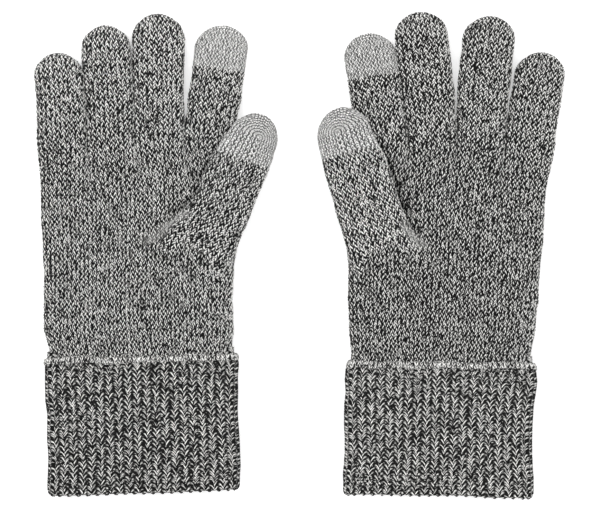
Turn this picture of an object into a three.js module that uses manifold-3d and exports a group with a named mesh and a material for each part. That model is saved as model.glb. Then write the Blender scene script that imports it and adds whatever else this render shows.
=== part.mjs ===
// A pair of knitted touchscreen gloves with turned-back ribbed cuffs, in millimetres.
// The pair lies palm side up on z = 0 with the fingers towards +Y and the cuffs towards -Y.
// Every piece is hollow knitted cloth: a hand with four finger mouths and a thumb mouth,
// finger and thumb stalls that bend at two creases, conductive tips on thumb and index,
// an inner wrist rib and an outer turned-back rib that ends in a bound-off hem.
import * as THREE from 'three';
import { mergeVertices } from 'three/addons/utils/BufferGeometryUtils.js';
import Module from 'manifold-3d';

const wasm = await Module();
wasm.setup();

// Cloth and clearances
const WALL = 2.0;            // lofty knitted wall of hand and stalls
const RIB_WALL = 1.8;        // ribbed wall of wrist and cuff
const GAP = 0.3;             // air between neighbouring pieces
const HAND_T = 10.0;         // hand and finger stalls, thickness as they lie
const THUMB_Z = [10.4, 19.4]; // the thumb stall lies on the palm
const CUFF_T = 13.2;         // turned cuff, thickness as it lies
const RIB_Z = [2.1, 11.1];   // inner wrist rib, inside the cuff
const HEM = 2.6;             // height of the bound-off hem
const TIP_R = 13.0;          // rounding of a finger tip, seen from above
const INDEX_CAP = 21.0;      // length of the conductive index tip

// Outlines. hand rows are [y, x left, x right]; finger half widths are [at the base, beyond];
// crease and knuckle are the distances of a finger's two bends from its base;
// thumb rows are [distance along the thumb, half width left, half width right].
const GLOVES = {
  right: {
    hand: [
      [-47.41, -131.34, -34.84],
      [-40.41, -133.24, -34.24],
      [-24.41, -133.44, -34.94],
      [-5.41, -133.54, -33.74],
      [4.59, -133.94, -32.44],
      [27.59, -134.94, -31.64],
      [44.59, -135.74, -32.34],
      [55.59, -136.34, -33.14]
    ],
    wrist: { y: -53.06, slope: 0.026, x: [-129.74, -35.14] },
    fingers: {
      little: { base: [-124.1, 59.7], dir: [-0.062, 0.9981], length: 44.98, crease: 6.0, knuckle: 23.84, half: [12.3, 12.3] },
      ring: { base: [-98.69, 62.07], dir: [-0.0431, 0.9991], length: 57.27, crease: 6.0, knuckle: 30.35, half: [12.4, 12.5] },
      middle: { base: [-73.07, 64.17], dir: [-0.0085, 1.0], length: 62.21, crease: 6.0, knuckle: 32.97, half: [12.5, 13.0] },
      index: { base: [-46.56, 63.9], dir: [0.127, 0.9919], length: 55.84, crease: 12.0, knuckle: 27.92, half: [12.6, 13.2] }
    },
    thumb: {
      base: [-50.24, 3.27],
      dir: [0.428, 0.9038],
      hinge: 8.0,
      knuckle: 36.0,
      cap: 51.4,
      tip: 76.2,
      root: [
        [-20, -21, 14.5, 2.2, 9.0],
        [-8, -22, 15.3, 4.0, 14.6],
        [3, -20.2, 15.8, 8.4, 18.8]
      ],
      rows: [
        [8.0, -18.5, 15.9],
        [23, -14.2, 15.4],
        [36, -14.6, 14.7],
        [46, -15.0, 14.1],
        [56, -13.9, 13.4],
        [63, -12.8, 12.1],
        [69, -10.2, 10.0],
        [73, -6.6, 6.3],
        [76.2, -2.2, 1.6]
      ]
    },
    cuff: { axis: [0.0182, -0.9998], top: [-82.26, -53.41], slope: 0.0078, bottomSlope: 0.0288, half: 50.6, length: 71.2 }
  },
  left: {
    hand: [
      [-50.41, 28.26, 121.86],
      [-41.41, 27.16, 124.06],
      [-24.41, 26.66, 125.86],
      [-8.41, 26.66, 126.56],
      [6.59, 25.66, 128.46],
      [27.59, 26.36, 129.56],
      [44.59, 28.66, 131.36],
      [55.59, 30.36, 133.66]
    ],
    wrist: { y: -56.11, slope: -0.012, x: [28.46, 121.26] },
    fingers: {
      index: { base: [43.9, 63.12], dir: [-0.1416, 0.9899], length: 53.03, crease: 12.0, knuckle: 26.52, half: [12.6, 12.9] },
      middle: { base: [69.83, 64.69], dir: [-0.0924, 0.9957], length: 62.48, crease: 6.0, knuckle: 33.11, half: [12.5, 13.1] },
      ring: { base: [95.98, 62.07], dir: [0.0834, 0.9965], length: 62.95, crease: 6.0, knuckle: 33.36, half: [12.5, 12.9] },
      little: { base: [121.7, 58.92], dir: [0.1329, 0.9911], length: 47.4, crease: 6.0, knuckle: 25.12, half: [12.4, 12.2] }
    },
    thumb: {
      base: [42.43, 4.32],
      dir: [-0.271, 0.9626],
      hinge: 8.0,
      knuckle: 36.0,
      cap: 50.0,
      tip: 74.6,
      root: [
        [-20, -15.0, 18.6, 2.2, 9.0],
        [-8, -15.4, 19.0, 4.0, 14.6],
        [3, -16.0, 17.8, 8.4, 18.8]
      ],
      rows: [
        [8.0, -16.4, 16.9],
        [23, -16.7, 15.5],
        [36, -16.8, 15.4],
        [44, -16.9, 14.9],
        [52, -16.7, 13.4],
        [60, -16.0, 11.8],
        [66.6, -13.8, 10.2],
        [71, -9.6, 5.8],
        [74.6, -2.6, 0.6]
      ]
    },
    cuff: { axis: [-0.025, -0.9997], top: [75.11, -56.61], slope: 0.013, bottomSlope: 0.004, half: 50.0, length: 69.4 }
  }
};

// ---- mesh helpers -------------------------------------------------------------------
// A ring is a flattened oval section: two rounded sides joined by flat palm and back faces.
function ring(centre, dir, left, right, z0, z1, slope = 0, steps = 4) {
  const nx = dir[1], ny = -dir[0];
  const rz = (z1 - z0) / 2, zc = (z0 + z1) / 2;
  const rx = Math.min(rz, (left + right) * 0.42);
  const pts = [];
  for (let i = 0; i <= steps; i++) {
    const a = -Math.PI / 2 + Math.PI * i / steps;
    pts.push([right - rx + rx * Math.cos(a), zc + rz * Math.sin(a)]);
  }
  for (let i = 0; i <= steps; i++) {
    const a = Math.PI / 2 + Math.PI * i / steps;
    pts.push([-left + rx + rx * Math.cos(a), zc + rz * Math.sin(a)]);
  }
  return pts.map(([u, z]) => [
    centre[0] + nx * u + dir[0] * slope * u,
    centre[1] + ny * u + dir[1] * slope * u, z]);
}

function geometryFrom(verts, tris) {
  const g = new THREE.BufferGeometry();
  g.setAttribute('position', new THREE.Float32BufferAttribute(verts.flat(), 3));
  g.setIndex(tris.flat());
  return g;
}

// Closed solid through a row of rings.
function loft(rings) {
  const n = rings[0].length, verts = rings.flat(), tris = [];
  for (let r = 0; r + 1 < rings.length; r++) {
    for (let i = 0; i < n; i++) {
      const j = (i + 1) % n, a = r * n + i, b = r * n + j, c = a + n, d = b + n;
      tris.push([a, c, b], [b, c, d]);
    }
  }
  const last = (rings.length - 1) * n;
  for (let i = 1; i + 1 < n; i++) {
    tris.push([0, i, i + 1]);
    tris.push([last, last + i + 1, last + i]);
  }
  return facing(verts, tris);
}

// Hollow stall: outer rings and inner rings joined by an annulus at each open end.
function stall(outer, inner, closedTip) {
  const n = outer[0].length, verts = [...outer.flat(), ...inner.flat()], tris = [];
  const o = outer.length, base = o * n;
  const strip = (start, count, flip) => {
    for (let r = 0; r + 1 < count; r++) {
      for (let i = 0; i < n; i++) {
        const j = (i + 1) % n, a = start + r * n + i, b = start + r * n + j, c = a + n, d = b + n;
        if (flip) tris.push([a, b, c], [b, d, c]); else tris.push([a, c, b], [b, c, d]);
      }
    }
  };
  strip(0, o, false);
  strip(base, inner.length, true);
  for (let i = 0; i < n; i++) {
    const j = (i + 1) % n;
    tris.push([i, j, base + i], [j, base + j, base + i]);
  }
  const lo = (o - 1) * n, li = base + (inner.length - 1) * n;
  if (closedTip) {
    for (let i = 1; i + 1 < n; i++) {
      tris.push([lo, lo + i + 1, lo + i]);
      tris.push([li, li + i, li + i + 1]);
    }
  } else {
    for (let i = 0; i < n; i++) {
      const j = (i + 1) % n;
      tris.push([lo + i, li + i, lo + j], [lo + j, li + i, li + j]);
    }
  }
  return facing(verts, tris);
}

// Turns the faces outwards if the signed volume is negative.
function facing(verts, tris) {
  let v = 0;
  for (const [a, b, c] of tris) {
    const [ax, ay, az] = verts[a], [bx, by, bz] = verts[b], [cx, cy, cz] = verts[c];
    v += ax * (by * cz - bz * cy) + ay * (bz * cx - bx * cz) + az * (bx * cy - by * cx);
  }
  return geometryFrom(verts, v < 0 ? tris.map(([a, b, c]) => [a, c, b]) : tris);
}

function toManifold(geometry) {
  const g = mergeVertices(geometry, 1e-4);
  return new wasm.Manifold(new wasm.Mesh({
    numProp: 3,
    vertProperties: new Float32Array(g.attributes.position.array),
    triVerts: new Uint32Array(g.index.array),
  }));
}

function fromManifold(solid) {
  const m = solid.getMesh();
  const verts = [], tris = [];
  for (let i = 0; i < m.vertProperties.length; i += m.numProp) {
    verts.push([m.vertProperties[i], m.vertProperties[i + 1], m.vertProperties[i + 2]]);
  }
  for (let i = 0; i < m.triVerts.length; i += 3) {
    tris.push([m.triVerts[i], m.triVerts[i + 1], m.triVerts[i + 2]]);
  }
  return geometryFrom(verts, tris);
}

// ---- stalls ------------------------------------------------------------------------
const along = (base, dir, s) => [base[0] + dir[0] * s, base[1] + dir[1] * s];

// Factors of the rounded tip at a distance t from its end: width, thickness.
function tip(t, radius) {
  const k = Math.min(1, Math.max(0, t / radius));
  const round = Math.sqrt(1 - (1 - k) * (1 - k));
  const kz = Math.min(1, Math.max(0, t / (radius * 0.75)));
  return [Math.max(0.12, round), Math.max(0.22, Math.pow(1 - (1 - kz) * (1 - kz), 0.6))];
}

// One finger section between two distances; inset makes its inner surface.
function fingerRing(f, s, inset) {
  const length = f.length - inset;
  const [kw, kz] = tip(length - s, TIP_R - inset);
  const blend = Math.min(1, s / (f.length * 0.5));
  const half = (f.half[0] + (f.half[1] - f.half[0]) * blend - inset) * kw;
  const rz = (HAND_T / 2 - inset) * kz;
  return ring(along(f.base, f.dir, s), f.dir, half, half, HAND_T / 2 - rz, HAND_T / 2 + rz);
}

function fingerPiece(f, from, to, closed) {
  if (!closed) {
    return stall([from, to].map((s) => fingerRing(f, s, 0)), [from, to].map((s) => fingerRing(f, s, WALL)), false);
  }
  const stops = (length, r) => [from, length - r, length - r * 0.62, length - r * 0.34, length - r * 0.13, length]
    .filter((s, i) => i === 0 || s > from + 1.5);
  return stall(stops(f.length, TIP_R).map((s) => fingerRing(f, s, 0)),
    stops(f.length - WALL, TIP_R - WALL).map((s) => fingerRing(f, s, WALL)), true);
}

function thumbRing(t, s, inset) {
  const rows = t.rows;
  const limit = rows[rows.length - 1][0] - inset;
  const at = Math.min(s, limit);
  // inner surface: the outline pulled back along the thumb near its tip
  const q = at > t.cap ? t.cap + (at - t.cap) * (t.tip - t.cap) / (t.tip - inset - t.cap) : at;
  let i = 0;
  while (i + 2 < rows.length && rows[i + 1][0] < q) i++;
  const [s0, l0, r0] = rows[i], [s1, l1, r1] = rows[i + 1];
  const k = (q - s0) / (s1 - s0);
  const left = -(l0 + (l1 - l0) * k), right = r0 + (r1 - r0) * k;
  const mid = (right - left) / 2, half = (left + right) / 2;
  const inner = Math.max(0.8, half - inset);
  const kz = tip(t.tip - q, 10)[1];
  const rz = Math.max(0.8, ((THUMB_Z[1] - THUMB_Z[0]) / 2) * kz - inset);
  const zc = (THUMB_Z[0] + THUMB_Z[1]) / 2;
  return ring(along(t.base, t.dir, at), t.dir, inner - mid, inner + mid, zc - rz, zc + rz);
}

function thumbPiece(t, from, to, closed) {
  const inside = t.rows.map((r) => r[0]).filter((s) => s > from + 1.5 && s < to - 0.5);
  const stops = [from, ...inside, to];
  return stall(stops.map((s) => thumbRing(t, s, 0)),
    stops.map((s) => thumbRing(t, Math.min(s, to - (closed ? WALL : 0)), WALL))
      .filter((r, i, all) => i + 1 === all.length || Math.hypot(all[i + 1][0][0] - r[0][0], all[i + 1][0][1] - r[0][1]) > 0.2),
    closed);
}

// ---- hand ---------------------------------------------------------------------------
function handPiece(g) {
  const up = [0, 1];
  const row = ([y, xl, xr], inset, z0, z1, slope = 0) =>
    ring([(xl + xr) / 2, y], up, (xr - xl) / 2 - inset, (xr - xl) / 2 - inset, z0 + inset, z1 - inset, slope);
  const { y, x, slope } = g.wrist;
  const top = g.hand[g.hand.length - 1];
  const outer = [row([y, x[0], x[1]], 0, RIB_Z[0], RIB_Z[1], slope), ...g.hand.map((r) => row(r, 0, 0, HAND_T))];
  const inner = [row([y - 3, x[0], x[1]], WALL, RIB_Z[0], RIB_Z[1], slope),
    row([y + 0.01, x[0], x[1]], WALL, RIB_Z[0], RIB_Z[1], slope),
    ...g.hand.slice(0, -1).map((r) => row(r, WALL, 0, HAND_T)),
    row([top[0] - WALL, top[1], top[2]], WALL, 0, HAND_T)];
  let solid = toManifold(loft(outer));
  let hollow = toManifold(loft(inner));
  for (const f of Object.values(g.fingers)) {
    const at = (s, half, inset) => ring(along(f.base, f.dir, s), f.dir, half - inset, half - inset, inset, HAND_T - inset);
    solid = solid.add(toManifold(loft([at(-9, f.half[0] - 0.4, 0), at(f.crease - GAP / 2, f.half[0], 0)])));
    hollow = hollow.add(toManifold(loft([at(-12, f.half[0] - 0.4, WALL), at(f.crease + 2, f.half[0], WALL)])));
  }
  const t = g.thumb;
  const root = (inset, end) => [
    ...t.root.map(([s, l, r, z0, z1]) => ring(along(t.base, t.dir, s), t.dir, -l - inset, r - inset, z0 + inset, z1 - inset)),
    ring(along(t.base, t.dir, end), t.dir, -t.rows[0][1] - inset, t.rows[0][2] - inset, THUMB_Z[0] + inset, THUMB_Z[1] - inset)];
  solid = solid.add(toManifold(loft(root(0, t.hinge - GAP / 2))));
  hollow = hollow.add(toManifold(loft(root(WALL, t.hinge + 1.5))));
  return fromManifold(solid.subtract(hollow));
}

// ---- wrist and cuff -----------------------------------------------------------------
// The cuff is straight, so it can be drawn off the wrist; its two ends are cut on a slant.
function cuffRing(c, s, half, z0, z1, slope) {
  return ring(along(c.top, c.axis, s), [-c.axis[0], -c.axis[1]], half, half, z0, z1, slope);
}

function wristRib(g) {
  const c = g.cuff, half = c.half - RIB_WALL - 0.4;
  const at = (s, inset, h, slope) => cuffRing(c, s, h - inset, RIB_Z[0] + inset, RIB_Z[1] - inset, slope);
  const end = c.length - RIB_WALL - GAP;
  const rows = (inset) => [at(0, inset, half - 1.0, c.slope), at(8, inset, half, c.slope), at(end, inset, half, c.bottomSlope)];
  return stall(rows(0), rows(RIB_WALL), false);
}

function turnedCuff(g) {
  const c = g.cuff, inner = c.half - RIB_WALL;
  const hole = c.half - RIB_WALL - 0.4 - RIB_WALL;
  const outer = [cuffRing(c, HEM + GAP, c.half, 0, CUFF_T, c.slope), cuffRing(c, c.length, c.half, 0, CUFF_T, c.bottomSlope)];
  const fold = c.length - RIB_WALL;
  const inside = [cuffRing(c, HEM + GAP, inner, RIB_WALL, CUFF_T - RIB_WALL, c.slope),
    cuffRing(c, fold, inner, RIB_WALL, CUFF_T - RIB_WALL, c.bottomSlope),
    cuffRing(c, fold, hole, RIB_Z[0] + RIB_WALL, RIB_Z[1] - RIB_WALL, c.bottomSlope),
    cuffRing(c, c.length, hole, RIB_Z[0] + RIB_WALL, RIB_Z[1] - RIB_WALL, c.bottomSlope)];
  return stall(outer, inside, false);
}

function cuffHem(g) {
  const c = g.cuff;
  const rows = (half, z0, z1) => [cuffRing(c, 0, half, z0, z1, c.slope), cuffRing(c, HEM, half, z0, z1, c.slope)];
  return stall(rows(c.half + 0.3, 0, CUFF_T + 0.3), rows(c.half - RIB_WALL, RIB_WALL, CUFF_T - RIB_WALL), false);
}

// ---- assembly -----------------------------------------------------------------------
const knit = new THREE.MeshStandardMaterial({ color: 0x757573, roughness: 0.95, metalness: 0 });
const rib = new THREE.MeshStandardMaterial({ color: 0x6a6a68, roughness: 0.95, metalness: 0 });
const touch = new THREE.MeshStandardMaterial({ color: 0xadadaa, roughness: 0.9, metalness: 0 });

const group = new THREE.Group();
function piece(name, geometry, material) {
  const mesh = new THREE.Mesh(geometry, material.clone());
  mesh.name = name;
  group.add(mesh);
}

for (const [side, g] of Object.entries(GLOVES)) {
  piece(`${side}_hand`, handPiece(g), knit);
  for (const [name, f] of Object.entries(g.fingers)) {
    const mid = f.knuckle;
    piece(`${side}_${name}_proximal`, fingerPiece(f, f.crease + GAP / 2, mid - GAP / 2, false), knit);
    if (name === 'index') {
      const cap = f.length - INDEX_CAP;
      piece(`${side}_index_distal`, fingerPiece(f, mid + GAP / 2, cap - GAP / 2, false), knit);
      piece(`${side}_index_touch_tip`, fingerPiece(f, cap + GAP / 2, f.length, true), touch);
    } else {
      piece(`${side}_${name}_distal`, fingerPiece(f, mid + GAP / 2, f.length, true), knit);
    }
  }
  const t = g.thumb;
  piece(`${side}_thumb_base`, thumbPiece(t, t.hinge + GAP / 2, t.knuckle - GAP / 2, false), knit);
  piece(`${side}_thumb_end`, thumbPiece(t, t.knuckle + GAP / 2, t.cap - GAP / 2, false), knit);
  piece(`${side}_thumb_touch_tip`, thumbPiece(t, t.cap + GAP / 2, t.tip, true), touch);
  piece(`${side}_wrist_rib`, wristRib(g), rib);
  piece(`${side}_turned_cuff`, turnedCuff(g), rib);
  piece(`${side}_cuff_hem`, cuffHem(g), rib);
}

export default group;
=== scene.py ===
"""A pair of marled knit touchscreen gloves with turned-back ribbed cuffs, palm side up.

Every piece is real knitted relief: each stitch leg is its own bump on a grid that follows
the wales and courses, and the yarn's light and dark plies are painted by nodes."""
import math

import bpy
import mathutils
import numpy as np
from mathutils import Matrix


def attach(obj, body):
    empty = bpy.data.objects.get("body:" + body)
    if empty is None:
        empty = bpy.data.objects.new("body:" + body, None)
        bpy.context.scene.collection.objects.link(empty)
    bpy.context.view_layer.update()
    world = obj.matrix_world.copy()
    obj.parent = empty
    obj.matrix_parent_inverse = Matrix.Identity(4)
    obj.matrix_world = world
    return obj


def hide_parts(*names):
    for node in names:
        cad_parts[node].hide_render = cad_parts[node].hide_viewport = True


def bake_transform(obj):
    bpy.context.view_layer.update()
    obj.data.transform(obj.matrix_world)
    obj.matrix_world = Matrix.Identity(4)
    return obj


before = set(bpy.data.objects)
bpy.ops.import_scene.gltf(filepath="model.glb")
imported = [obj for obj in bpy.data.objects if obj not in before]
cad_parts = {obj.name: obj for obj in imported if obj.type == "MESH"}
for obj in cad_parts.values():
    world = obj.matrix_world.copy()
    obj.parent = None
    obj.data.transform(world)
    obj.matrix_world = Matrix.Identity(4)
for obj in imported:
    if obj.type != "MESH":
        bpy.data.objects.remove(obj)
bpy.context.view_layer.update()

# ---------------------------------------------------------------- sizes, in millimetres
HAND_T = 10.0                  # hand and finger stalls, thickness as they lie
CUFF_T = 13.2
RIB_Z = (2.1, 11.1)
COURSE = 1.42                  # height of one course of the plain knit
SLOPE = 1.02                   # rise of a stitch leg, in courses
WALES = 12                     # wales on one face of a finger stall
CAP_WALES = 17                 # wales on one face of a touch tip
CAP_COURSE = 1.36
TIP_R = 13.0

GLOVES = {
    "right": {
        "order": ["little", "ring", "middle", "index"],
        "hand": [(-57.1, -129.8, -35.2), (-50.8, -130.3, -35.2), (-45.5, -131.9, -34.7), (-40.3, -133.3, -34.2),
                 (-24.6, -133.4, -35.0), (-6.2, -133.4, -34.0), (4.3, -134.0, -32.4), (14.8, -134.5, -31.9),
                 (27.9, -134.9, -31.6), (38.4, -135.0, -31.9), (51.6, -135.6, -32.7), (60.5, -136.6, -33.3)],
        "wrist": (-55.0, 0.026),
        "fingers": {
            "little": ((-124.10, 59.70), (-0.0620, 0.9981), 45.6, (12.9, 12.7, 12.7), 6.0, 23.84, -0.7),
            "ring": ((-98.69, 62.07), (-0.0431, 0.9991), 57.9, (12.7, 12.65, 12.8), 6.0, 30.35, -0.1),
            "middle": ((-73.07, 64.17), (-0.0085, 1.0), 61.7, (13.1, 13.2, 13.3), 6.0, 32.97, -0.4),
            "index": ((-46.56, 63.90), (0.1270, 0.9919), 56.4, (13.3, 13.5, 13.6), 12.0, 27.92, 0.7)},
        "thumb": {"base": (-50.24, 3.27), "dir": (0.428, 0.9038), "hinge": 8.0, "knuckle": 36.0, "tip": 76.2,
                  "cap": 51.8, "cap_tilt": 1.5,
                  "rows": [(-26, -20.0, 13.5), (-8, -21.0, 15.6), (0, -20.5, 16.2), (8, -18.6, 16.1), (15, -16.2, 15.8),
                           (23, -14.4, 15.5), (34, -14.7, 14.8), (46, -15.2, 14.2), (56, -13.9, 13.6), (63, -12.9, 12.2)]},
        "cuff": {"axis": (0.0182, -0.9998), "top": (-82.26, -53.41), "slope": 0.0078, "bottom": 0.018,
                 "half": 51.2, "length": 71.2,
                 # how far each side stands out or in, going down from the hem
                 "sides": [(0, -0.9, 0.0), (6, -0.6, 0.5), (13, -0.5, -0.4), (23, -0.4, -0.4), (30, 0.5, -0.5),
                           (42, 0.1, 0.0), (52, 0.5, 0.3), (61, 0.1, 0.9), (68, -0.4, 0.6)]},
        # creases in the palm: from, to, half width, height
        "puckers": [((-80.5, 6.0), (-56.5, 21.4), 1.7, 1.7), ((-82.5, 9.5), (-58.5, 25.0), 1.6, -1.3),
                    ((-71.0, 2.5), (-58.0, 10.5), 1.4, -0.7)],
        "seed": 11},
    "left": {
        "order": ["index", "middle", "ring", "little"],
        "hand": [(-61.3, 28.8, 120.9), (-51.9, 28.2, 121.7), (-46.6, 27.7, 123.0), (-41.4, 27.2, 124.0),
                 (-24.6, 26.7, 125.9), (-8.8, 27.0, 126.6), (-0.9, 26.2, 127.6), (6.9, 25.6, 128.5),
                 (14.8, 25.6, 129.0), (27.9, 26.4, 129.4), (38.4, 27.7, 130.0), (48.9, 29.3, 131.7), (59.4, 30.8, 134.0)],
        "wrist": (-58.0, -0.012),
        "fingers": {
            "index": ((43.90, 63.12), (-0.1530, 0.9882), 53.03, (13.2, 13.9, 13.9), 12.0, 26.52, -0.3),
            "middle": ((69.83, 64.69), (-0.0924, 0.9957), 62.48, (13.1, 13.6, 13.6), 6.0, 33.11, 0.0),
            "ring": ((95.98, 62.07), (0.0834, 0.9965), 62.95, (13.0, 13.4, 13.6), 6.0, 33.36, 0.9),
            "little": ((121.70, 58.92), (0.1329, 0.9911), 47.40, (13.1, 12.9, 12.9), 6.0, 25.12, 0.9)},
        "thumb": {"base": (42.43, 4.32), "dir": (-0.271, 0.9626), "hinge": 8.0, "knuckle": 36.0, "tip": 74.6,
                  "cap": 52.4, "cap_tilt": -0.6,
                  "rows": [(-26, -14.0, 18.4), (-8, -16.4, 20.0), (0, -16.9, 19.0), (8, -16.6, 17.2), (15, -16.6, 16.3),
                           (23, -16.8, 15.6), (34, -16.8, 15.5), (43, -17.0, 15.3), (51, -16.8, 13.6), (58, -16.3, 12.2)]},
        "cuff": {"axis": (-0.025, -0.9997), "top": (75.11, -56.61), "slope": 0.013, "bottom": 0.004,
                 "half": 50.8, "length": 69.4,
                 "sides": [(0, 0.8, -0.5), (5, 0.0, 0.6), (10.5, -0.5, 1.0), (17, 0.0, 0.0), (23, -0.4, -1.0),
                           (33, 0.1, -1.5), (42, 0.5, -1.4), (49, 0.9, -1.0), (55, 0.4, -0.4), (61, -0.5, 0.5),
                           (68, -0.5, 0.9)]},
        "puckers": [((53.5, 16.5), (66.5, 2.0), 1.5, 1.2), ((56.5, 18.0), (70.0, 3.5), 1.5, -1.1),
                    ((49.5, 21.0), (54.5, -4.0), 1.4, -0.9)],
        "seed": 47},
}

CW = 4                         # columns of points across a wale
CR = 3                         # rows of points up a course
RIB_CW = 8
RIB_CR = 5


# ---------------------------------------------------------------- small numeric helpers
def smooth(t):
    t = np.clip(t, 0.0, 1.0)
    return t * t * (3.0 - 2.0 * t)


def lerp(a, b, t):
    return a + (b - a) * t


def rnd(i, j, seed):
    """A repeatable random number from 0 to 1 for each pair of whole numbers."""
    h = (np.asarray(i).astype(np.int64) * 73856093) ^ (np.asarray(j).astype(np.int64) * 19349663) ^ (int(seed) * 83492791)
    h = (h ^ (h >> 13)) & 0x7FFFFFFF
    h = (h * 1274126177) & 0x7FFFFFFF
    h = (h ^ (h >> 15)) * 668265263 & 0x7FFFFFFF
    return ((h ^ (h >> 12)) & 0xFFFF) / 65535.0


def noise(x, y, seed):
    """Smooth noise from -1 to 1."""
    i, j = np.floor(x), np.floor(y)
    fx, fy = smooth(x - i), smooth(y - j)
    a, b = rnd(i, j, seed), rnd(i + 1, j, seed)
    c, d = rnd(i, j + 1, seed), rnd(i + 1, j + 1, seed)
    return 2.0 * lerp(lerp(a, b, fx), lerp(c, d, fx), fy) - 1.0


def prof(d, edge, n=2.3):
    """Rounded side of a flat tube: 0 at its edge, 1 from `edge` inwards."""
    t = np.clip(d / edge, 0.0, 1.0)
    return np.power(np.maximum(1.0 - np.power(1.0 - t, n), 0.0), 1.0 / n)


def arc_table(half, edge, thick, n=2.3):
    """Positions across a section, evenly spaced along its surface: t in 0..1 to u in -1..1."""
    u = -np.cos(np.linspace(0, math.pi, 1201))
    z = thick * prof(half * (1 - np.abs(u)), edge, n)
    s = np.concatenate([[0], np.cumsum(np.hypot(np.diff(half * u), np.diff(z)))])
    return s / s[-1], u


FINGER_MAP = arc_table(13.2, 13.2, HAND_T / 2)
WIDE_MAP = arc_table(50.0, 9.0, HAND_T / 2)


def umap(table, t):
    return np.interp(t, table[0], table[1])


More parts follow.
